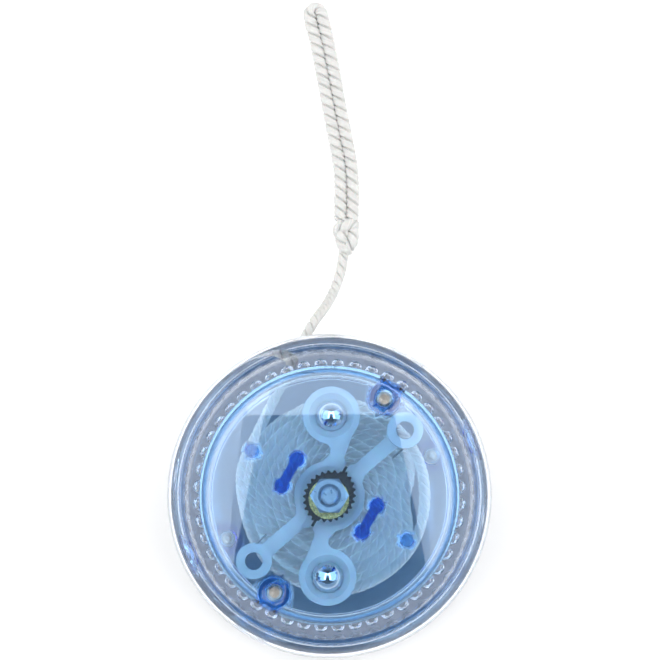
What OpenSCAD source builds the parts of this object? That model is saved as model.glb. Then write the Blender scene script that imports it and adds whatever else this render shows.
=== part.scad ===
// Yo-yo with a centrifugal clutch, lying on one face with its axle upright.
// Two clear half shells stand on a steel axle. A spindle that carries the string turns
// freely on the axle, and two ball-weighted arms in the upper half grip its toothed hub.
// The origin is on the axle, in the plane of the face that the toy lies on.

/* [Overall] */
// Outer diameter of the half shells
outer_d = 58; // [56:0.5:72]
// Width over both half shells, along the axle
overall_w = 35; // [34.5:0.5:44]

/* [Half shells] */
// Width of the clear rim around each cap
rim_w = 5.9; // [5:0.1:6]
// Thickness of the web beside the string
web_t = 2; // [1.8:0.1:2.4]
// Radius of the rounded edge beside the string
lip_r = 3; // [2:0.1:3.5]
// Width of the flat on top of the rim, inside its rounded outer corner
rim_land = 1.6; // [1.5:0.1:2]
// How far the side of the rim bulges
side_bulge = 0.6; // [0.2:0.1:1]
// Width of the ledge that a cap seats on
ledge_w = 1.3; // [1:0.1:1.6]
// Number of flutes around the edge of a cap
flute_count = 48; // [36:2:52]
// Radius of one flute at its top
flute_r = 1.2; // [0.9:0.1:1.3]

/* [Caps] */
// Thickness of a cap
cap_t = 1.6; // [1.2:0.1:2]
// Rise of a cap from its edge to its middle
cap_crown = 1.6; // [1:0.1:1.6]
// Depth of a cap's edge below the rim
cap_recess = 2.2; // [2:0.1:2.6]
// Depth of a cap's skirt below its edge
skirt_h = 3; // [2:0.1:3.2]
// Thickness of a cap's skirt
skirt_t = 0.8; // [0.6:0.05:1]
// Radius of a screw boss
boss_r = 2.8; // [2.4:0.1:3]
// Distance from a cap's edge to its screws
boss_inset = 3.25; // [3.1:0.05:3.6]
// Angle of the screws of the upper cap
upper_screw_angle = 60.4; // [58:0.2:62]
// Angle of the screws of the lower cap
lower_screw_angle = 22; // [10:1:40]
// Radius of the lobes of an arm stop
stop_lobe_r = 1.3; // [1:0.05:1.3]
// Width of the waist of an arm stop
stop_waist_w = 1.8; // [1.2:0.1:2.2]
// Radius of a locating peg
peg_r = 1.15; // [0.8:0.05:1.4]

/* [Axle and fasteners] */
// Diameter of the axle
axle_d = 3.2; // [2.4:0.1:3.9]
// Width across the flats of the axle nuts
nut_af = 6; // [5.5:0.1:7]
// Height of an axle nut
nut_h = 2.4; // [2:0.1:3]
// Diameter of the brass washers
washer_d = 7.2; // [7:0.1:8.4]
// Diameter of a washer's hole, loose on the axle
washer_hole_d = 4.4; // [4.1:0.1:4.6]
// Thickness of the brass washers
washer_t = 0.6; // [0.4:0.1:0.8]
// Diameter of a cap screw's head
screw_head_d = 2.6; // [2.2:0.1:3]
// Diameter of a cap screw's shank
screw_d = 1.6; // [1.3:0.1:1.9]

/* [Spindle] */
// Diameter that the string is wound on
core_d = 9.2; // [8:0.1:10]
// Diameter of the spindle's flanges
flange_d = 12.4; // [12.4:0.1:15]
// Thickness of a flange
flange_t = 0.8; // [0.6:0.1:1]
// Diameter of the neck that passes the upper web
neck_d = 11.2; // [11:0.1:12]
// Number of teeth on the hub
hub_teeth = 24; // [18:1:30]
// Radius over the hub's teeth
hub_tip_r = 3.9; // [3.8:0.05:4.4]
// Depth of the clutch teeth
tooth_depth = 0.45; // [0.3:0.05:0.6]

/* [Clutch] */
// Distance from the axle to an arm's pivot
pivot_pos_r = 17.76; // [17.4:0.02:18]
// Angle of the upper right pivot
pivot_angle = 40.9; // [39:0.1:42]
// Diameter of a pivot post
pivot_d = 3; // [2.4:0.1:3.6]
// Wall of an arm's sleeve around its post
sleeve_wall = 1.64; // [1.2:0.02:1.8]
// Distance from the axle to a ball
ball_pos_r = 14.4; // [13.8:0.1:14.6]
// Angle of the ball of the first arm
ball_angle = 88.7; // [86:0.1:90]
// Diameter of a steel ball
ball_d = 5.556; // [4.6:0.004:6.8]
// Wall of the holder around a ball
holder_wall = 2.35; // [1.8:0.05:2.4]
// Width of an arm's bar
bar_w = 2.7; // [2:0.1:3]
// Thickness of an arm
arm_t = 3.2; // [2.6:0.1:4]
// Radius over an arm's toothed jaw
jaw_r = 6.3; // [6.2:0.05:6.4]
// Number of teeth on the full circle of a jaw
jaw_teeth = 28; // [24:1:32]
// Thickness of the clear bridge under the upper nut
bridge_t = 1.6; // [1.2:0.1:2]
// Width of the bridge
bridge_w = 2.6; // [2:0.1:3]
// Radius of the bridge's hub
bridge_hub_r = 5.4; // [5:0.1:6]
// Wire diameter of the return springs
spring_wire_d = 0.4; // [0.3:0.02:0.44]

/* [String] */
// Diameter of the string
string_d = 1.6; // [1.3:0.1:1.9]
// Layers of string on the spindle
string_layers = 8; // [6:1:8]
// Diameter of one strand of the finger loop
loop_strand_d = 2; // [1.6:0.1:2]
// Width of the knot
knot_d = 4; // [3:0.1:4.4]

/* [Clearances] */
// Between the winding and each half shell
winding_gap = 0.3; // [0.25:0.05:0.5]
// Radial, where a part turns on a post or axle
running_gap = 0.06; // [0.03:0.01:0.09]
// Between parts that move past each other
moving_gap = 0.4; // [0.35:0.05:0.5]
// Between the hub's teeth and a jaw's teeth
tooth_gap = 0.15; // [0.12:0.01:0.25]
// Around a fixed part in its pocket
fit_gap = 0.1; // [0.05:0.01:0.15]

/* [Hidden] */
round_fn = 96;
small_fn = 48;
outer_r = outer_d / 2;
string_gap = 2 * string_d + 2 * winding_gap;
half_h = (overall_w - string_gap) / 2;
mid_z = overall_w / 2;
cap_r = outer_r - rim_w;
pocket_r = cap_r + fit_gap;
cavity_r = cap_r - ledge_w;
cavity_fillet = 0.8;
seat_h = half_h - cap_recess - cap_t;
ledge_h = seat_h - skirt_h;
flute_slope = 0.25;
flute_over = 0.5;
side_r = outer_r - side_bulge;
corner_r = side_r - pocket_r - rim_land;
boss_pos_r = cap_r - boss_inset;
boss_play = 0.2;

// Heights above the gap face of the upper half shell
flange_play = 0.15;
flange_recess = flange_t + 2 * flange_play;
flange_recess_r = flange_d / 2 + moving_gap;
neck_top_h = web_t + 1;
arm_base_h = neck_top_h + moving_gap;
arm_top_h = arm_base_h + arm_t;
hub_top_h = arm_top_h + 0.1;
bridge_base_h = arm_top_h + moving_gap;
bridge_top_h = bridge_base_h + bridge_t;
upper_nut_h = bridge_top_h + washer_t;
axle_end = 0.3;
upper_axle_h = upper_nut_h + nut_h + axle_end;
sleeve_top_h = seat_h - 0.8;
post_top_h = seat_h - 0.4;
holder_base_h = arm_base_h - 0.6;
holder_floor = 0.8;
mouth_h = 1.2;
ball_seat_r = 2 * ball_d / 5.556;
ball_r = ball_d / 2;
ball_h = holder_base_h + holder_floor + sqrt(ball_r * ball_r - ball_seat_r * ball_seat_r) + 0.03;
holder_top_h = ball_h + mouth_h;
holder_r = ball_r + holder_wall;
holder_mouth_r = holder_r - 1.15;

// The lower half shell has a boss around the axle and two empty sockets in place of the clutch
lower_boss_h = 4.6;
lower_boss_r = flange_recess_r + 1;
socket_angle = -8;
socket_pos_r = 17;
socket_r = 2.7;
socket_wall = 1;
socket_h = 4;
lower_nut_h = lower_boss_h + washer_t;
lower_axle_h = lower_nut_h + nut_h + axle_end;

axle_r = axle_d / 2;
slip_angle = 259;
bore_r = axle_r + running_gap;
neck_hole_r = neck_d / 2 + moving_gap;
pivot_r = pivot_d / 2;
sleeve_r = pivot_r + running_gap + sleeve_wall;

// An arm's jaw is cut on a centre that leans towards the hub
jaw_lean = 0.7;
jaw_lean_angle = pivot_angle - 90;
jaw_tip_r = hub_tip_r + tooth_gap + jaw_lean;
split_angle = 60;
split_gap = 0.5;
arm_fillet = 1.2;
neck_angle = 69.7;
neck_start = 4.6;
neck_end = 13;

// The string is wound to this radius, and its last turn leaves along the route below
winding_r = core_d / 2 + string_layers * string_d;
winding_w = 2 * string_d;
head_h = 1.1;
head_seat = 1.2;
screw_reach = 5;
slot_w = 0.4;
slot_l = 1.7;
slot_t = 0.6;

// Route of the free string: along the gap, over the lower shell and down to the table
tail_points = [
    [-14.9, 7.3, 18.2], [-13.1, 11, 18.1], [-11.3, 14.6, 18], [-9.6, 18.1, 17.9],
    [-7.9, 21.5, 17.7], [-6.3, 24.8, 17.5], [-4.7, 28, 17.3], [-3.7, 30, 16.7],
    [-2.7, 31.7, 15.3], [-1.8, 33, 13.1], [-1.1, 34, 10.4], [-0.5, 35, 7.7],
    [0.1, 36.1, 5.2], [0.8, 37.6, 3.1], [1.5, 39.5, 1.7], [2.1, 41.6, 1.1],
    [2.5, 43.9, 1.1], [2.8, 46, 1.6]
];
knot_ends = [[2.9, 46, 2.05], [3, 49.4, 2.05]];
loop_points = [
    [4.1, 50.2, 1.35], [4.2, 52.8, 1.1], [4.2, 56.6, 1.05], [3.95, 60.6, 1.05], [3.15, 65, 1.05],
    [2.25, 69.6, 1.05], [1.4, 74.2, 1.05], [0.55, 78.8, 1.05], [-0.35, 83.4, 1.05],
    [-1.1, 86.7, 1.05], [-1.6, 88.5, 1.05], [-2.6, 89.1, 1.05], [-3.5, 88.5, 1.05],
    [-3.4, 86.7, 1.05], [-2.5, 83.4, 1.05], [-1.6, 78.8, 1.05], [-0.75, 74.2, 1.05],
    [0.1, 69.6, 1.05], [1, 65, 1.05], [1.8, 60.6, 1.05], [2.05, 56.6, 1.05], [2.05, 52.8, 1.1],
    [1.95, 50.2, 1.35]
];

function arc(cx, cy, r, from, to, n) =
    [for (i = [0:n]) let (a = from + (to - from) * i / n) [cx + r * cos(a), cy + r * sin(a)]];

// Height of a cap's underside above its seat at radius r
function crown_h(r) = cap_crown * (1 - pow(r / cap_r, 2));

// Toothed outline: n teeth between two radii
function toothed(n, root, tip) =
    [for (i = [0:n - 1], k = [0:3])
        let (a = 360 * (i + [0, 0.3, 0.5, 0.8][k]) / n, r = k == 1 || k == 2 ? tip : root)
        [r * cos(a), r * sin(a)]];

function unit(v) = v / norm(v);
function heading(p, i) = unit(p[min(i + 1, len(p) - 1)] - p[max(i - 1, 0)]);

// One ring of a tube: sides points around route point i
function ring(p, i, r, sides) =
    let (t = heading(p, i), u = unit(cross([0, 0, 1], t)), v = cross(t, u))
    [for (k = [0:sides - 1]) let (a = 360 * (k + 0.5) / sides) p[i] + r * (cos(a) * u + sin(a) * v)];

// Closed tube of radius r swept along a route
module tube(p, r, sides) {
    last = len(p) - 1;
    rings = [for (i = [0:last]) each ring(p, i, r, sides)];
    walls = [for (i = [0:last - 1], k = [0:sides - 1])
        let (a = i * sides + k, b = i * sides + (k + 1) % sides) [a, a + sides, b + sides, b]];
    near_end = [[for (k = [0:sides - 1]) k]];
    far_end = [[for (k = [sides - 1:-1:0]) last * sides + k]];
    polyhedron(points = rings, faces = concat(walls, near_end, far_end));
}

// Places children in the upper half, measured up from its gap face
module upper() translate([0, 0, mid_z + string_gap / 2]) children();

// Places children in the lower half, turned over
module lower() translate([0, 0, mid_z - string_gap / 2]) mirror([0, 0, 1]) children();

// Children at an angle and radius, and again on the opposite side
module pair(angle, r) {
    for (turn = [0, 180]) rotate([0, 0, angle + turn]) translate([r, 0, 0]) children();
}

module half_shell(hole_r, screw_angle, post_h) {
    profile = concat(
        [[hole_r, flange_recess], [flange_recess_r, flange_recess], [flange_recess_r, 0]],
        arc(side_r - lip_r, lip_r, lip_r, -90, 0, 8),
        [for (i = [1:7])
            let (s = i / 4 - 1, h = lip_r + (half_h - lip_r - corner_r) * i / 8)
            [side_r + side_bulge * (1 - s * s), h]],
        arc(side_r - corner_r, half_h - corner_r, corner_r, 0, 90, 14),
        [[pocket_r, half_h], [pocket_r, ledge_h], [cavity_r, ledge_h]],
        arc(cavity_r - cavity_fillet, web_t + cavity_fillet, cavity_fillet, 0, -90, 5),
        [[hole_r, web_t]]);
    difference() {
        union() {
            rotate_extrude($fn = round_fn) polygon(profile);
            pair(screw_angle, boss_pos_r) translate([0, 0, web_t / 2])
                cylinder(r = boss_r, h = post_h - web_t / 2, $fn = small_fn);
        }
        pair(screw_angle, boss_pos_r) translate([0, 0, post_h])
            cylinder(r = boss_r + boss_play, h = half_h, $fn = small_fn);
        pair(screw_angle, boss_pos_r) translate([0, 0, post_h - screw_reach])
            cylinder(d = screw_d + 0.06, h = half_h, $fn = small_fn);
        for (i = [0:flute_count - 1]) rotate([0, 0, (i + 0.5) * 360 / flute_count])
            translate([cap_r, 0, seat_h + cap_t])
                cylinder(r1 = flute_r - flute_slope * cap_recess,
                    r2 = flute_r + flute_slope * flute_over, h = cap_recess + flute_over, $fn = 24);
    }
}

module upper_shell() {
    color("aliceblue", 0.35) upper() {
        half_shell(neck_hole_r, upper_screw_angle, bridge_base_h);
        pair(pivot_angle, pivot_pos_r) translate([0, 0, web_t / 2])
            cylinder(r = pivot_r, h = post_top_h - web_t / 2, $fn = small_fn);
    }
}

module lower_shell() {
    color("aliceblue", 0.35) lower() difference() {
        union() {
            half_shell(bore_r, lower_screw_angle, lower_boss_h);
            translate([0, 0, flange_recess])
                cylinder(r = lower_boss_r, h = lower_boss_h - flange_recess, $fn = small_fn);
            pair(socket_angle, socket_pos_r) translate([0, 0, web_t / 2])
                cylinder(r = socket_r, h = socket_h - web_t / 2, $fn = small_fn);
        }
        translate([0, 0, -1]) cylinder(r = bore_r, h = half_h, $fn = small_fn);
        pair(socket_angle, socket_pos_r) translate([0, 0, web_t])
            cylinder(r = socket_r - socket_wall, h = half_h, $fn = small_fn);
    }
}

// Domed cap with a skirt and two screw bosses that reach down to boss_base above the gap face
module cap(screw_angle, boss_base) {
    rows = 10;
    inner_r = cap_r - skirt_t;
    under = [for (i = [0:rows]) let (r = inner_r * i / rows) [r, seat_h + crown_h(r)]];
    skirt = [[inner_r, ledge_h], [cap_r, ledge_h]];
    over = [for (i = [rows:-1:0]) let (r = cap_r * i / rows) [r, seat_h + cap_t + crown_h(r)]];
    boss_top = seat_h + crown_h(boss_pos_r) + cap_t / 2;
    difference() {
        union() {
            rotate_extrude($fn = round_fn) polygon(concat(under, skirt, over));
            pair(screw_angle, boss_pos_r) translate([0, 0, boss_base])
                cylinder(r = boss_r, h = boss_top - boss_base, $fn = small_fn);
            children();
        }
        pair(screw_angle, boss_pos_r) translate([0, 0, boss_base + head_seat])
            cylinder(d = screw_head_d + 0.5, h = half_h, $fn = small_fn);
        pair(screw_angle, boss_pos_r) translate([0, 0, boss_base - 1])
            cylinder(d = screw_d + 2 * fit_gap, h = half_h, $fn = small_fn);
    }
}

// Dumb-bell rib that stops an arm's outward swing
module arm_stop() {
    ends = [[-5.81, 6.36], [-8.39, 1.83]];
    base = arm_base_h + 0.6;
    height = seat_h + crown_h(8.6) + cap_t / 2 - base;
    run = ends[1] - ends[0];
    for (p = ends) translate([p.x, p.y, base]) cylinder(r = stop_lobe_r, h = height, $fn = small_fn);
    translate([ends[0].x, ends[0].y, base]) rotate([0, 0, atan2(run.y, run.x)])
        translate([0, -stop_waist_w / 2, 0]) cube([norm(run), stop_waist_w, height]);
}

module upper_cap() {
    peg_pos = [-13.69, 7.89];
    peg_base = bridge_top_h;
    color("royalblue", 0.5) upper() cap(upper_screw_angle, bridge_top_h)
        for (turn = [0, 180]) rotate([0, 0, turn]) {
            arm_stop();
            translate([peg_pos.x, peg_pos.y, peg_base])
                cylinder(r = peg_r, h = seat_h + crown_h(norm(peg_pos)) + cap_t / 2 - peg_base,
                    $fn = small_fn);
        }
}

module lower_cap() {
    color("royalblue", 0.5) lower() cap(lower_screw_angle, lower_boss_h);
}

// Pan-head screw with a cross recess, head seated at seat above the gap face
module cap_screw(seat, reach) {
    translate([0, 0, seat]) difference() {
        rotate_extrude($fn = small_fn) polygon([[0, 0], [screw_head_d / 2, 0],
            [screw_head_d / 2, head_h * 0.6], [screw_head_d / 2 - 0.35, head_h], [0, head_h]]);
        for (turn = [0, 90]) rotate([0, 0, turn]) translate([-slot_l / 2, -slot_w / 2, head_h - slot_t])
            cube([slot_l, slot_w, slot_t + 1]);
    }
    translate([0, 0, seat - reach]) rotate_extrude($fn = small_fn)
        polygon([[0, 0], [screw_d / 4, 0], [screw_d / 2, 0.8], [screw_d / 2, reach], [0, reach]]);
}

module upper_cap_screws() {
    color("silver") upper() pair(upper_screw_angle, boss_pos_r)
        cap_screw(bridge_top_h + head_seat, head_seat + bridge_t + screw_reach - 0.4);
}

module lower_cap_screws() {
    color("silver") lower() pair(lower_screw_angle, boss_pos_r)
        cap_screw(lower_boss_h + head_seat, head_seat + lower_boss_h - web_t);
}

module axle() {
    base = mid_z - string_gap / 2 - lower_axle_h;
    length = string_gap + lower_axle_h + upper_axle_h;
    bevel = 0.35;
    color("silver") translate([0, 0, base]) rotate_extrude($fn = small_fn)
        polygon([[0, 0], [axle_r - bevel, 0], [axle_r, bevel], [axle_r, length - bevel],
            [axle_r - bevel, length], [0, length]]);
}

// Hexagon nut with bevelled corners, standing on z = 0
module hex_nut() {
    corner = nut_af / 2 / cos(30);
    bevel = 0.35;
    countersink = 0.5;
    difference() {
        intersection() {
            cylinder(r = corner, h = nut_h, $fn = 6);
            rotate_extrude($fn = small_fn) polygon([[0, 0], [corner - bevel, 0], [corner, bevel],
                [corner, nut_h - bevel], [nut_af / 2 - 0.1, nut_h], [0, nut_h]]);
        }
        translate([0, 0, -1]) cylinder(r = axle_r + 0.03, h = nut_h + 2, $fn = small_fn);
        translate([0, 0, nut_h - countersink]) cylinder(r1 = axle_r, r2 = axle_r + 2 * countersink,
            h = 2 * countersink, $fn = small_fn);
    }
}

// Washer that has slipped to one side of the axle, as far as its hole lets it
module washer() {
    slip = (washer_hole_d - axle_d) / 2 - fit_gap / 2;
    translate(slip * [cos(slip_angle), sin(slip_angle), 0]) difference() {
        cylinder(d = washer_d, h = washer_t, $fn = small_fn);
        translate([0, 0, -1]) cylinder(d = washer_hole_d, h = washer_t + 2, $fn = small_fn);
    }
}

module upper_axle_nut() {
    color("gainsboro") upper() translate([0, 0, upper_nut_h]) hex_nut();
}

module lower_axle_nut() {
    color("gainsboro") lower() translate([0, 0, lower_nut_h]) hex_nut();
}

module upper_washer() {
    color("goldenrod") upper() translate([0, 0, bridge_top_h]) washer();
}

module lower_washer() {
    color("goldenrod") lower() translate([0, 0, lower_boss_h]) washer();
}

// Clear bar across the clutch: it carries the nut and is held by the cap screws
module clutch_bridge() {
    color("aliceblue", 0.5) upper() translate([0, 0, bridge_base_h]) difference() {
        union() {
            cylinder(r = bridge_hub_r, h = bridge_t, $fn = small_fn);
            pair(upper_screw_angle, boss_pos_r) cylinder(r = boss_r, h = bridge_t, $fn = small_fn);
            pair(upper_screw_angle, 0) translate([0, -bridge_w / 2 - 0.4, 0])
                cube([boss_pos_r, bridge_w, bridge_t]);
        }
        translate([0, 0, -1]) cylinder(r = axle_r + fit_gap, h = bridge_t + 2, $fn = small_fn);
        pair(upper_screw_angle, boss_pos_r) translate([0, 0, -1])
            cylinder(d = screw_d + 2 * fit_gap, h = bridge_t + 2, $fn = small_fn);
    }
}

// Black spindle: flanged core for the string, neck through the web, toothed hub on top
module spindle() {
    neck_base = flange_play + flange_t;
    color([0.08, 0.08, 0.09]) difference() {
        union() {
            lower() translate([0, 0, flange_play]) cylinder(d = flange_d, h = flange_t, $fn = small_fn);
            translate([0, 0, mid_z - string_gap / 2 - flange_play - 0.1])
                cylinder(d = core_d, h = string_gap + 2 * flange_play + 0.2, $fn = small_fn);
            upper() translate([0, 0, flange_play]) cylinder(d = flange_d, h = flange_t, $fn = small_fn);
            upper() translate([0, 0, neck_base - 0.1])
                cylinder(d = neck_d, h = neck_top_h - neck_base + 0.1, $fn = small_fn);
            upper() translate([0, 0, neck_top_h - 0.1]) linear_extrude(hub_top_h - neck_top_h + 0.1)
                polygon(toothed(hub_teeth, hub_tip_r - tooth_depth, hub_tip_r));
        }
        cylinder(r = bore_r, h = overall_w, $fn = small_fn);
    }
}

module string_winding() {
    color("white") translate([0, 0, mid_z - winding_w / 2]) rotate_extrude($fn = round_fn)
        polygon([[core_d / 2, 0], [winding_r - 0.4, 0], [winding_r, 0.4],
            [winding_r, winding_w - 0.4], [winding_r - 0.4, winding_w], [core_d / 2, winding_w]]);
}

module string_tail() {
    color("white") tube(tail_points, string_d / 2, 8);
}

module string_knot() {
    color("white") hull() for (p = knot_ends) translate(p) sphere(d = knot_d, $fn = 32);
}

module finger_loop() {
    color("white") tube(loop_points, loop_strand_d / 2, 8);
}

// Outline of the first arm, before its teeth and bores are cut
module arm_outline() {
    round_inset = 0.2;
    ball = ball_pos_r * [cos(ball_angle), sin(ball_angle)];
    offset(r = -arm_fillet) offset(delta = arm_fillet) {
        circle(r = jaw_r, $fn = 64);
        translate(ball) circle(r = holder_r - round_inset, $fn = 64);
        rotate(pivot_angle + 180) translate([pivot_pos_r, 0])
            circle(r = sleeve_r - round_inset, $fn = small_fn);
        rotate(pivot_angle + 180) translate([0, -bar_w / 2]) square([pivot_pos_r, bar_w]);
        rotate(neck_angle) translate([neck_start, -0.1]) square([neck_end - neck_start, bar_w]);
    }
}

// The first arm: ball holder on top, toothed jaw round the hub, bar out to its pivot
module clutch_arm() {
    ball = ball_pos_r * [cos(ball_angle), sin(ball_angle)];
    difference() {
        union() {
            difference() {
                translate([0, 0, arm_base_h]) linear_extrude(arm_t) arm_outline();
                rotate([0, 0, jaw_lean_angle]) translate([jaw_lean, 0, 0]) linear_extrude(half_h)
                    polygon(toothed(jaw_teeth, jaw_tip_r, jaw_tip_r + tooth_depth));
                rotate([0, 0, split_angle]) translate([-jaw_r - 2, split_gap / 2 - 2 * jaw_r, 0])
                    cube([2 * jaw_r + 4, 2 * jaw_r, half_h]);
            }
            translate([ball.x, ball.y, holder_base_h])
                cylinder(r = holder_r, h = holder_top_h - holder_base_h, $fn = small_fn);
            rotate([0, 0, pivot_angle + 180]) translate([pivot_pos_r, 0, arm_base_h])
                cylinder(r = sleeve_r, h = sleeve_top_h - arm_base_h, $fn = small_fn);
        }
        rotate([0, 0, pivot_angle + 180]) translate([pivot_pos_r, 0, 0])
            cylinder(r = pivot_r + running_gap, h = half_h, $fn = small_fn);
        translate([ball.x, ball.y, 0]) rotate_extrude($fn = small_fn)
            polygon([[0, 0], [ball_seat_r, 0], [ball_seat_r, holder_base_h + holder_floor],
                [ball_r + 0.04, holder_base_h + holder_floor], [ball_r + 0.04, ball_h],
                [holder_mouth_r, holder_top_h], [holder_mouth_r, half_h], [0, half_h]]);
    }
}

module clutch_ball() {
    ball = ball_pos_r * [cos(ball_angle), sin(ball_angle)];
    translate([ball.x, ball.y, ball_h]) sphere(d = ball_d, $fn = 64);
}

// Torsion spring round the post of the first arm, one leg under the bar and one to the wall
module return_spring() {
    coil_r = pivot_r + 0.5 + spring_wire_d / 2;
    turns = 1.75;
    steps = 28;
    base = web_t + 0.12 + spring_wire_d / 2;
    rise = 1.4 - 0.24 - spring_wire_d;
    coil = [for (i = [0:steps]) let (a = 90 - 360 * turns * i / steps)
        [coil_r * cos(a), coil_r * sin(a), base + rise * i / steps]];
    first = coil[0];
    last = coil[steps];
    route = concat([first + [-2.4, 0, 0], first + [-1.2, 0, 0]], coil, [last + [0, 2.4, 0], last + [0, 4.8, 0]]);
    rotate([0, 0, pivot_angle + 180]) translate([pivot_pos_r, 0, 0]) rotate([0, 0, 90])
        tube(route, spring_wire_d / 2, 6);
}

module clutch_arm_a() {
    color("azure") upper() clutch_arm();
}

module clutch_arm_b() {
    color("azure") rotate([0, 0, 180]) upper() clutch_arm();
}

module clutch_ball_a() {
    color("silver") upper() clutch_ball();
}

module clutch_ball_b() {
    color("silver") rotate([0, 0, 180]) upper() clutch_ball();
}

module return_spring_a() {
    color("dimgray") upper() return_spring();
}

module return_spring_b() {
    color("dimgray") rotate([0, 0, 180]) upper() return_spring();
}

upper_shell();
lower_shell();
upper_cap();
lower_cap();
upper_cap_screws();
lower_cap_screws();
axle();
upper_axle_nut();
lower_axle_nut();
upper_washer();
lower_washer();
clutch_bridge();
spindle();
string_winding();
string_tail();
string_knot();
finger_loop();
clutch_arm_a();
clutch_ball_a();
return_spring_a();
clutch_arm_b();
clutch_ball_b();
return_spring_b();
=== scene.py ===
"""The looks of the yo-yo: its string, its materials, and a white table under soft studio light.

Lengths named here are in millimetres and go through MM on their way into the scene, which is in metres.
The axle stands upright on the origin, and the toy lies on the table at z = 0.
"""
import bpy
import math
import random
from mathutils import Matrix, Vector


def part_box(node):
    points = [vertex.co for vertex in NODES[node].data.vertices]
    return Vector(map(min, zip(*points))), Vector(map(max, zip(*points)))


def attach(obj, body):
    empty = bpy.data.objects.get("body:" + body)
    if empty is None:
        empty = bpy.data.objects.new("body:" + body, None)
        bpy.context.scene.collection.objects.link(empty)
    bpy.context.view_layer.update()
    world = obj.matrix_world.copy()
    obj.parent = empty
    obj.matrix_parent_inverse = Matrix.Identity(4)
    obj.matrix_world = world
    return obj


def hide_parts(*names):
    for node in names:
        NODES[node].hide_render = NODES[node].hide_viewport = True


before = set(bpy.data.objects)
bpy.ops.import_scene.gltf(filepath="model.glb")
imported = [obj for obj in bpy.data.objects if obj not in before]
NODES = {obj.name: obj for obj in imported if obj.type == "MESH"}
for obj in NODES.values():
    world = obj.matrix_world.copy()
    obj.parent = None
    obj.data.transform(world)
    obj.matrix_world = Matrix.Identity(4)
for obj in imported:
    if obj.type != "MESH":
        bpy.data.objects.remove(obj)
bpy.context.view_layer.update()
MM = 0.001
UP = Vector((0, 0, 1))

# The clear halves of the toy
RIM_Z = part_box("upper_shell")[1].z / MM
MID_Z = RIM_Z / 2

# Camera: almost straight above, with a long lens
VIEW_WIDTH = 118.7
VIEW_CENTRE = Vector((0.1, 30, MID_Z))
VIEW_ELEVATION = 88.0
VIEW_DISTANCE = 1500
SENSOR = 36

# String: two plies, wound two turns to a layer, then out along the gap and down to the table
STRING_D = 1.6
STRING_PITCH = 3.8
CORE_R = 4.6
LAYERS = 8
LANE_OFFSET = 0.8
LEAN_BACK = 0.45
TAIL_POINTS = [
    (-14.9, 7.3, 18.2), (-13.1, 11, 18.1), (-11.3, 14.6, 18), (-9.6, 18.1, 17.9),
    (-7.9, 21.5, 17.7), (-6.3, 24.8, 17.5), (-4.7, 28, 17.3), (-3.7, 30, 16.7),
    (-2.7, 31.7, 15.3), (-1.8, 33, 13.1), (-1.1, 34, 10.4), (-0.5, 35, 7.7),
    (0.1, 36.1, 5.2), (0.8, 37.6, 3.1), (1.5, 39.5, 1.7), (2.1, 41.6, 1.1),
    (2.5, 43.9, 1.1), (2.8, 46, 1.6),
]
KNOT_ENDS = [Vector((2.9, 46, 2.05)), Vector((3, 49.4, 2.05))]
LOOP_POINTS = [
    (4.1, 50.2, 1.35), (4.2, 52.8, 1.1), (4.2, 56.6, 1.05), (3.95, 60.6, 1.05), (3.15, 65, 1.05),
    (2.25, 69.6, 1.05), (1.4, 74.2, 1.05), (0.55, 78.8, 1.05), (-0.35, 83.4, 1.05),
    (-1.1, 86.7, 1.05), (-1.6, 88.5, 1.05), (-2.6, 89.1, 1.05), (-3.5, 88.5, 1.05),
    (-3.4, 86.7, 1.05), (-2.5, 83.4, 1.05), (-1.6, 78.8, 1.05), (-0.75, 74.2, 1.05),
    (0.1, 69.6, 1.05), (1, 65, 1.05), (1.8, 60.6, 1.05), (2.05, 56.6, 1.05), (2.05, 52.8, 1.1),
    (1.95, 50.2, 1.35),
]
LOOP_STRAND_D = 2.0
KNOT_STRAND_D = 2.0

# One ply: how far it lies off the string's centre, and its half sizes outwards and sideways,
# as shares of the string's diameter
PLY_LAY = 0.25
PLY_RADIAL = 0.31
PLY_ACROSS = 0.5

# A ply starts and ends at this share of its thickness, and reaches the whole of it in so many mm
PLY_END_SHARE = 0.25
PLY_END_TAPER = 0.5

# Cotton: painted paler where it is wound, as light in place of what the clear shells gather, and greyer
# where it hangs free.
# The radii, in mm from the axle, are where the grey starts and where it is full, and the painted glow of
# the wound part fades out between them.
WOUND_PAINTED_LIT_DARK = (0.91, 0.92, 0.93)
WOUND_PAINTED_LIT_LIGHT = (0.965, 0.97, 0.975)
FREE_GREY_DARK = (0.48, 0.48, 0.47)
FREE_GREY_LIGHT = (0.63, 0.63, 0.615)
FREE_GREY_FROM = 19
FREE_GREY_BEYOND = 24
WOUND_GLOW = 0.1


# ---------------------------------------------------------------- camera

def add_camera():
    """A long lens looking down on the toy from just off the vertical, on the -Y side."""
    data = bpy.data.cameras.new("camera")
    data.sensor_width = SENSOR
    data.lens = SENSOR * VIEW_DISTANCE / VIEW_WIDTH
    data.clip_end = 20
    camera = bpy.data.objects.new("camera", data)
    bpy.context.scene.collection.objects.link(camera)
    elevation = math.radians(VIEW_ELEVATION)
    back = Vector((0, -math.cos(elevation), math.sin(elevation)))
    camera.location = (VIEW_CENTRE + back * VIEW_DISTANCE) * MM
    camera.rotation_mode = "QUATERNION"
    camera.rotation_quaternion = (-back).to_track_quat("-Z", "Y")
    bpy.context.scene.camera = camera


# ---------------------------------------------------------------- routes and ropes

def smooth_step(t):
    t = min(max(t, 0), 1)
    return t * t * (3 - 2 * t)


def catmull(a, b, c, d, t):
    """The point at t between b and c on the smooth curve through a, b, c and d."""
    return 0.5 * (2 * b + (c - a) * t + (2 * a - 5 * b + 4 * c - d) * t ** 2
                  + (3 * b - a - 3 * c + d) * t ** 3)


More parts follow.
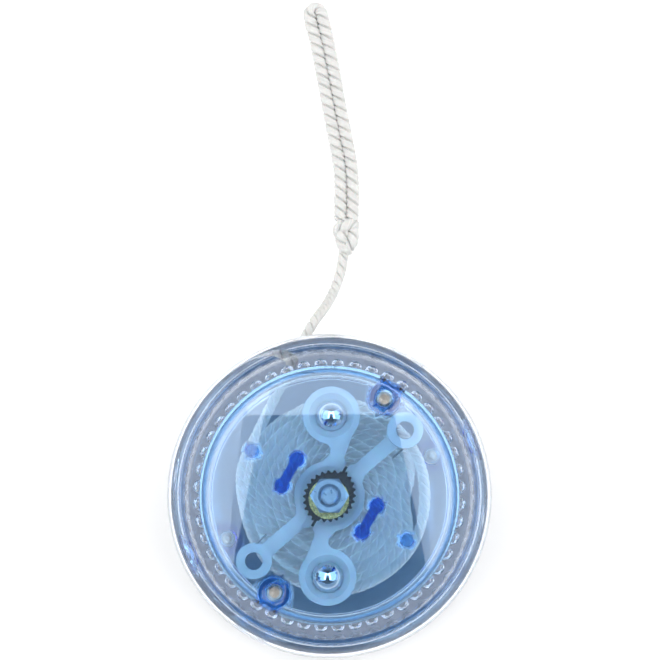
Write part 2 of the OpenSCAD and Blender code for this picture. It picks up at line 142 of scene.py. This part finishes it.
def smoothed(points, cuts):
    """The smooth curve through the points, with each stretch cut into equal parts."""
    points = [Vector(p) for p in points]
    ends = [2 * points[0] - points[1]] + points + [2 * points[-1] - points[-2]]
    curve = [catmull(*ends[i:i + 4], k / cuts) for i in range(len(points) - 1) for k in range(cuts)]
    return curve + [points[-1]]


def evenly(points, step):
    """The same line with its points an equal step apart."""
    even, left = [points[0]], step
    for a, b in zip(points, points[1:]):
        run = (b - a).length
        done = 0
        while run - done >= left:
            done += left
            even.append(a.lerp(b, done / run))
            left = step
        left -= run - done
    return even


def frames_along(points):
    """Each point with two directions across the line, which turn as little as possible on the way."""
    side = UP.cross(points[1] - points[0]).normalized()
    found = []
    for i, p in enumerate(points):
        ahead = (points[min(i + 1, len(points) - 1)] - points[max(i - 1, 0)]).normalized()
        side = (side - ahead * side.dot(ahead)).normalized()
        found.append((p, side, ahead.cross(side)))
    return found


def add_mesh(name, verts, faces, uvs, material):
    """A smooth-shaded mesh with a UV map, in metres."""
    mesh = bpy.data.meshes.new(name)
    mesh.from_pydata([v * MM for v in verts], [], faces)
    layer = mesh.uv_layers.new(name="along")
    for loop, corner in zip(layer.data, [uv for face in uvs for uv in face]):
        loop.uv = corner
    mesh.polygons.foreach_set("use_smooth", [True] * len(faces))
    mesh.materials.append(material)
    mesh.update()
    piece = bpy.data.objects.new(name, mesh)
    bpy.context.scene.collection.objects.link(piece)
    return piece


def ply_tube(route, step, turn, lay_r, radial, across, pitch, sides, first):
    """One ply: an oval tube that winds round the route. Returns its points, faces and UVs."""
    last = len(route) - 1
    verts, faces, uvs = [], [], []
    for i, (p, u, v) in enumerate(frames_along(route)):
        angle = turn - 2 * math.pi * i * step / pitch
        out = math.cos(angle) * u + math.sin(angle) * v
        beside = math.cos(angle) * v - math.sin(angle) * u
        thin = min(1, PLY_END_SHARE + min(i, last - i) * step / PLY_END_TAPER)
        for k in range(sides):
            a = 2 * math.pi * k / sides
            swell = radial * thin * math.cos(a) * out + across * thin * math.sin(a) * beside
            verts.append(p + lay_r * out + swell)
    for i in range(last):
        for k in range(sides):
            n = (k + 1) % sides
            a, b = first + i * sides, first + (i + 1) * sides
            faces.append((a + k, a + n, b + n, b + k))
            near, far = i * step, (i + 1) * step
            low, high = k / sides, (k + 1) / sides
            uvs.append(((near, low), (near, high), (far, high), (far, low)))
    for ring in (range(sides - 1, -1, -1), range(last * sides, last * sides + sides)):
        faces.append(tuple(first + k for k in ring))
        uvs.append(((0, 0),) * sides)
    return verts, faces, uvs


def rope(routes, step, diameter, pitch, sides, plies=2):
    """Twisted rope along each route, as points, faces and UVs of one mesh."""
    lay_r = PLY_LAY * diameter
    verts, faces, uvs = [], [], []
    for route in routes:
        for ply in range(plies):
            turn = 2 * math.pi * ply / plies
            made = ply_tube(route, step, turn, lay_r, PLY_RADIAL * diameter,
                            PLY_ACROSS * diameter, pitch, sides, len(verts))
            for whole, part in zip((verts, faces, uvs), made):
                whole.extend(part)
    return verts, faces, uvs


# ---------------------------------------------------------------- string

def winding_route(points_per_turn=40):
    """Clockwise from the spindle outwards, two turns side by side in each layer, a little loose."""
    draw = random.Random(7)
    turns = 2 * LAYERS
    waves = [[(draw.uniform(0.06, 0.2), draw.randint(2, 7), draw.uniform(0, 2 * math.pi))
              for _ in range(3)] for _ in range(turns + 1)]
    swap = [draw.uniform(0.55, 0.95) for _ in range(turns)]
    end_angle = math.atan2(TAIL_POINTS[0][1], TAIL_POINTS[0][0])
    hand_over = 0.22
    route = []
    for i in range(turns * points_per_turn):
        at = i / points_per_turn
        turn = int(at)
        layer = turn // 2
        move = smooth_step((at - turn - swap[turn] + hand_over) / hand_over)
        climb = move if turn % 2 and turn < turns - 1 else 0
        cross = move if turn % 2 == 0 else 0
        upper = (layer % 2 == 0) != (turn % 2 == 1)
        lane = LANE_OFFSET * (1 if upper else -1) * (1 - 2 * cross)
        angle = end_angle - 2 * math.pi * at
        blend = smooth_step(at - turn)
        loose = sum((1 - blend) * a * math.sin(n * angle + f) for a, n, f in waves[turn])
        loose += sum(blend * a * math.sin(n * angle + f) for a, n, f in waves[turn + 1])
        loose *= min(1, at / 2) * min(1, (turns - at) * 2)
        slack = slack_at(angle, layer + climb) - lean_at(angle, layer) * smooth_step((turns - at) / 0.12)
        r = CORE_R + STRING_D * (layer + climb + 0.5) + loose - slack
        route.append(Vector((r * math.cos(angle), r * math.sin(angle), MID_Z + lane + 0.4 * loose)))
    return route


def slack_at(angle, layer):
    """How far the inner layers pull in, on the side where the outermost turns have come loose."""
    off = math.degrees(math.atan2(math.sin(angle), math.cos(angle))) + 2
    full = math.exp(-(off / 17) ** 2)
    inner = min(layer / 5, 1) * (1 - smooth_step(layer - 6))
    return 2.0 * full * inner


def lean_at(angle, layer):
    """How much further out a layer lies on the right, and further in on the left: the winding leans."""
    return (layer + 1) / LAYERS * (math.cos(angle) - LEAN_BACK * math.cos(angle) ** 2)


def add_string(material):
    """The wound string and its free end, which leaves the gap and comes down to the knot."""
    step = 0.4
    line = smoothed(winding_route() + [Vector(p) for p in TAIL_POINTS], 4)
    route = evenly(line, step)
    piece = add_mesh("string", *rope([route], step, STRING_D, STRING_PITCH, 10), material)
    return piece, route


def knot_routes():
    """An overhand knot drawn tight: two lobes along it and a slanting wrap around its top."""
    low, high = KNOT_ENDS
    base, top = low - Vector((0, 1.1, 0.2)), high + Vector((0, 1.3, -0.3))
    along = (top - base).normalized()
    length = (top - base).length
    side = along.cross(UP).normalized()

    def at(share, right, rise):
        return base + along * length * share + side * right + UP * rise

    right_lobe = [at(-0.04, -0.1, -0.4), at(0.14, 0.55, 0.1), at(0.36, 1.2, 0.25), at(0.62, 1.15, 0.1),
                  at(0.84, 0.75, -0.1), at(1.03, 0.6, -0.3)]
    left_lobe = [at(-0.02, 0.15, -0.2), at(0.16, -0.35, 0.3), at(0.38, -0.75, 0.45), at(0.6, -0.5, 0.35),
                 at(0.82, -0.5, 0.1), at(1.03, -0.5, -0.3)]
    wrap = [at(0.5, 0.1, -0.9), at(0.56, -1.0, -0.35), at(0.68, -1.15, 0.4), at(0.78, -0.1, 0.9),
            at(0.84, 1.0, 0.45), at(0.8, 1.25, -0.4), at(0.7, 0.2, -0.95)]
    return [right_lobe, left_lobe, wrap]


def add_knot(material):
    step = 0.2
    routes = [evenly(smoothed(points, 12), step) for points in knot_routes()]
    return add_mesh("string_knot_wraps", *rope(routes, step, KNOT_STRAND_D, STRING_PITCH, 14), material)


def add_finger_loop(material):
    step = 0.25
    route = evenly(smoothed(LOOP_POINTS, 12), step)
    return add_mesh("finger_loop_strand", *rope([route], step, LOOP_STRAND_D, STRING_PITCH, 16), material)


def make_string():
    """Every piece of string, on the spindle that it is wound on."""
    cotton = cotton_material()
    string, route = add_string(cotton)
    knot = add_knot(cotton)
    loop = add_finger_loop(cotton)
    for piece, stood_for in ((string, ["string_winding", "string_tail"]),
                             (knot, ["string_knot"]), (loop, ["finger_loop"])):
        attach(piece, "spindle")
        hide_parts(*stood_for)


# ---------------------------------------------------------------- materials

class Shading:
    """A new material with its Principled shader, and short ways to add nodes to it."""

    def __init__(self, name):
        self.material = bpy.data.materials.new(name)
        self.material.use_nodes = True
        self.tree = self.material.node_tree
        self.shader = self.tree.nodes["Principled BSDF"]

    def node(self, kind, **values):
        made = self.tree.nodes.new(kind)
        for name, value in values.items():
            setattr(made, name, value)
        return made

    def link(self, source, target):
        self.tree.links.new(source, target)

    def set(self, **values):
        """Sets sockets of the shader, with underscores for the spaces in their names."""
        for name, value in values.items():
            self.shader.inputs[name.replace("_", " ")].default_value = value

    def noise(self, scale, detail=3, stretch=(1, 1, 1), source="Object"):
        """A noise texture in the object's own space, scale cells to the metre."""
        place = self.node("ShaderNodeMapping")
        place.inputs["Scale"].default_value = stretch
        texture = self.node("ShaderNodeTexNoise")
        texture.inputs["Scale"].default_value = scale
        texture.inputs["Detail"].default_value = detail
        self.link(self.node("ShaderNodeTexCoord").outputs[source], place.inputs["Vector"])
        self.link(place.outputs["Vector"], texture.inputs["Vector"])
        return texture.outputs["Fac"]

    def range(self, source, low, high, start=0.3, end=0.7):
        """The source's values from start to end, turned into low to high."""
        mapped = self.node("ShaderNodeMapRange")
        for name, value in zip(("From Min", "From Max", "To Min", "To Max"), (start, end, low, high)):
            mapped.inputs[name].default_value = value
        self.link(source, mapped.inputs["Value"])
        return mapped.outputs["Result"]

    def rough(self, source, low, high):
        self.link(self.range(source, low, high), self.shader.inputs["Roughness"])

    def bump(self, source, height, strength=1.0):
        """Raises the surface by height, in millimetres, where the source is high."""
        bump = self.node("ShaderNodeBump")
        bump.inputs["Distance"].default_value = height * MM
        bump.inputs["Strength"].default_value = strength
        before = self.shader.inputs["Normal"].links
        if before:
            self.link(before[0].from_socket, bump.inputs["Normal"])
        self.link(source, bump.inputs["Height"])
        self.link(bump.outputs["Normal"], self.shader.inputs["Normal"])

    def ramp(self, source, dark, light, start=0.3, end=0.7):
        """A colour between dark and light, as the source says."""
        ramp = self.node("ShaderNodeValToRGB")
        for stop, place, colour in zip(ramp.color_ramp.elements, (start, end), (dark, light)):
            stop.position = place
            stop.color = (*colour, 1)
        self.link(source, ramp.inputs["Fac"])
        return ramp.outputs["Color"]

    def tones(self, source, dark, light):
        """Colours the surface between dark and light, as the source says."""
        self.link(self.ramp(source, dark, light), self.shader.inputs["Base Color"])

    def absorb(self, colour, density):
        """Tints what is seen through the solid by the length of the way through it."""
        volume = self.node("ShaderNodeVolumeAbsorption")
        volume.inputs["Color"].default_value = (*colour, 1)
        volume.inputs["Density"].default_value = density
        output = self.tree.nodes["Material Output"]
        self.link(volume.outputs["Volume"], output.inputs["Volume"])


def plastic_glass(name, colour, density):
    """Clear moulded plastic: glossy, faintly wavy from the mould, with fine handling marks."""
    m = Shading(name)
    m.set(Base_Color=(1, 1, 1, 1), Transmission_Weight=1.0, IOR=1.5)
    m.rough(m.noise(900, 6), 0.0, 0.035)
    m.bump(m.noise(160, 2), 0.004)
    m.absorb(colour, density)
    return m.material


def clear_material():
    return plastic_glass("clear_plastic_look", (0.03, 0.335, 0.76), 14)


def blue_material(name, density):
    return plastic_glass(name, (0.033, 0.59, 0.985), density)


def arm_material():
    """Milky acetal: satin, a little light passes into it."""
    m = Shading("natural_plastic_look")
    m.tones(m.noise(350, 4), (0.82, 0.83, 0.83), (0.89, 0.9, 0.9))
    m.rough(m.noise(1500, 4), 0.28, 0.45)
    m.bump(m.noise(2500, 3), 0.006)
    m.set(Subsurface_Weight=0.2, Subsurface_Scale=0.0012, IOR=1.48)
    return m.material


def black_material():
    """Black moulded plastic with a satin skin."""
    m = Shading("black_plastic_look")
    m.tones(m.noise(500, 4), (0.012, 0.012, 0.014), (0.03, 0.03, 0.034))
    m.rough(m.noise(1800, 4), 0.3, 0.5)
    m.bump(m.noise(3000, 3), 0.006)
    return m.material


def metal_material(name, dark, light, rough_low, rough_high, mark_scale, mark_height, stretch=(1, 1, 1)):
    """Plated or polished metal with fine marks."""
    m = Shading(name)
    m.set(Metallic=1.0)
    m.tones(m.noise(700, 5), dark, light)
    m.rough(m.noise(1300, 5), rough_low, rough_high)
    m.bump(m.noise(mark_scale, 4, stretch), mark_height)
    return m.material


def cotton_material():
    """Soft cotton yarn with fibres along each ply: painted paler where it is wound, in place of the light
    that the shells gather, and greyer where it hangs free.

    The wound part glows faintly, in place of the light that the clear shells gather and pass into it.
    """
    m = Shading("cotton_look")
    fibres = m.noise(1.0, 3, (0.55, 26, 1), "UV")
    # The wound part's tone is painted paler than the free part's, as light in place of what the clear
    # shells gather.
    wound_painted_lit = m.ramp(fibres, WOUND_PAINTED_LIT_DARK, WOUND_PAINTED_LIT_LIGHT)
    free_grey = m.ramp(fibres, FREE_GREY_DARK, FREE_GREY_LIGHT)
    off_axis = m.node("ShaderNodeVectorMath", operation="LENGTH")
    flat = m.node("ShaderNodeVectorMath", operation="MULTIPLY")
    flat.inputs[1].default_value = (1, 1, 0)
    m.link(m.node("ShaderNodeTexCoord").outputs["Object"], flat.inputs[0])
    m.link(flat.outputs["Vector"], off_axis.inputs[0])
    mix = m.node("ShaderNodeMix", data_type="RGBA")
    reach = off_axis.outputs["Value"]
    ends = (FREE_GREY_FROM * MM, FREE_GREY_BEYOND * MM)
    m.link(m.range(reach, 0, 1, *ends), mix.inputs["Factor"])
    # Painted light: the wound part glows faintly, and the glow fades out where the grey comes in.
    m.link(m.range(reach, WOUND_GLOW, 0, *ends), m.shader.inputs["Emission Strength"])
    m.link(wound_painted_lit, mix.inputs["A"])
    m.link(free_grey, mix.inputs["B"])
    m.link(mix.outputs["Result"], m.shader.inputs["Base Color"])
    m.rough(m.noise(2500, 3), 0.8, 0.95)
    m.bump(fibres, 0.06)
    m.bump(m.noise(3500, 4), 0.03)
    m.set(Sheen_Weight=0.1, Sheen_Roughness=0.5, Subsurface_Weight=0.1, Subsurface_Scale=0.0003,
          Emission_Color=(0.7, 0.9, 1, 1))
    return m.material


def part_faces(node):
    """Draws a clear node's skin in by a hair, so that faces that touch don't share one surface."""
    weld = node.modifiers.new("weld", "WELD")
    weld.merge_threshold = 0.001 * MM
    hair = node.modifiers.new("hair", "DISPLACE")
    hair.strength = -0.015 * MM
    hair.mid_level = 0


def paint_nodes():
    """Gives every CAD node that shows its material."""
    clear, arm = clear_material(), arm_material()
    blue, pale_blue = blue_material("blue_plastic_look", 370), blue_material("pale_blue_plastic_look", 300)
    zinc = metal_material(
        "zinc_look", (0.44, 0.5, 0.56), (0.54, 0.6, 0.66), 0.26, 0.36, 3000, 0.0004)
    nickel = metal_material(
        "nickel_look", (0.42, 0.41, 0.39), (0.6, 0.585, 0.56), 0.14, 0.28, 4000, 0.0008)
    brass = metal_material(
        "brass_look", (0.74, 0.56, 0.2), (0.84, 0.66, 0.28), 0.2, 0.34, 2500, 0.0004)
    steel = metal_material(
        "ball_steel_look", (0.74, 0.75, 0.78), (0.82, 0.83, 0.86), 0.02, 0.07, 6000, 0.0002)
    spring = metal_material(
        "spring_look", (0.42, 0.42, 0.44), (0.6, 0.6, 0.63), 0.2, 0.35, 5000, 0.002)
    looks = {
        "upper_shell": clear, "lower_shell": clear, "clutch_bridge": clear,
        "upper_cap": blue, "lower_cap": pale_blue,
        "upper_cap_screws": nickel, "lower_cap_screws": nickel,
        "axle": zinc, "upper_axle_nut": zinc, "lower_axle_nut": zinc,
        "upper_washer": brass, "lower_washer": brass,
        "spindle": black_material(),
        "clutch_arm_a": arm, "clutch_arm_b": arm,
        "clutch_ball_a": steel, "clutch_ball_b": steel,
        "return_spring_a": spring, "return_spring_b": spring,
    }
    for name, look in looks.items():
        for slot in NODES[name].material_slots:
            slot.material = look
        if look in (clear, blue, pale_blue):
            part_faces(NODES[name])


# ---------------------------------------------------------------- table and light

def add_table():
    """A wide white table, a hair below the toy."""
    size, drop = 4000, 0.05
    mesh = bpy.data.meshes.new("table")
    corners = [Vector((x * size, y * size, -drop)) * MM for x, y in ((-1, -1), (1, -1), (1, 1), (-1, 1))]
    mesh.from_pydata(corners, [], [(0, 1, 2, 3)])
    m = Shading("table_look")
    m.tones(m.noise(40, 4), (0.965, 0.965, 0.965), (0.98, 0.98, 0.98))
    m.set(Roughness=0.9, Specular_IOR_Level=0.1)
    mesh.materials.append(m.material)
    table = bpy.data.objects.new("table", mesh)
    bpy.context.scene.collection.objects.link(table)


def add_softbox(name, place, width, height, power):
    """A rectangular soft light that faces the toy. Place is in metres."""
    data = bpy.data.lights.new(name, "AREA")
    data.shape = "RECTANGLE"
    data.size, data.size_y = width, height
    data.energy = power
    light = bpy.data.objects.new(name, data)
    bpy.context.scene.collection.objects.link(light)
    light.location = place
    aim = Vector((0, 0, MID_Z * MM)) - Vector(place)
    light.rotation_mode = "QUATERNION"
    light.rotation_quaternion = aim.to_track_quat("-Z", "Y")


def add_light():
    """Softboxes left and right with a bright strip above each, a strip behind and a pale ceiling,
    in a room that is pale near the table and dim higher up."""
    for name, side in (("left", -1), ("right", 1)):
        add_softbox("softbox_" + name, (side * 0.93, 0.1, 0.84), 1.5, 1.8, 16)
        add_softbox("strip_" + name, (side * 0.475, 0.1, 1.53), 1.5, 0.38, 6.2)
    add_softbox("strip_back", (0, 0.48, 1.48), 0.6, 0.35, 2.5)
    add_softbox("ceiling", (0, 0.12, 1.7), 0.75, 0.7, 0.6)
    world = bpy.data.worlds.new("room")
    world.use_nodes = True
    tree = world.node_tree
    ramp = tree.nodes.new("ShaderNodeValToRGB")
    for stop, place, level in zip(ramp.color_ramp.elements, (0.02, 0.7), (0.8, 0.12)):
        stop.position = place
        stop.color = (level, level, level, 1)
    split = tree.nodes.new("ShaderNodeSeparateXYZ")
    way = tree.nodes.new("ShaderNodeTexCoord")
    tree.links.new(way.outputs["Generated"], split.inputs["Vector"])
    tree.links.new(split.outputs["Z"], ramp.inputs["Fac"])
    tree.links.new(ramp.outputs["Color"], tree.nodes["Background"].inputs["Color"])
    bpy.context.scene.world = world


def set_render():
    """Plain colours, and enough bounces for light to pass both halves and come back."""
    scene = bpy.context.scene
    scene.view_settings.view_transform = "Standard"
    scene.cycles.max_bounces = 28
    scene.cycles.transmission_bounces = 28
    scene.cycles.glossy_bounces = 8
    scene.cycles.diffuse_bounces = 12


add_camera()
make_string()
paint_nodes()
add_table()
add_light()
set_render()
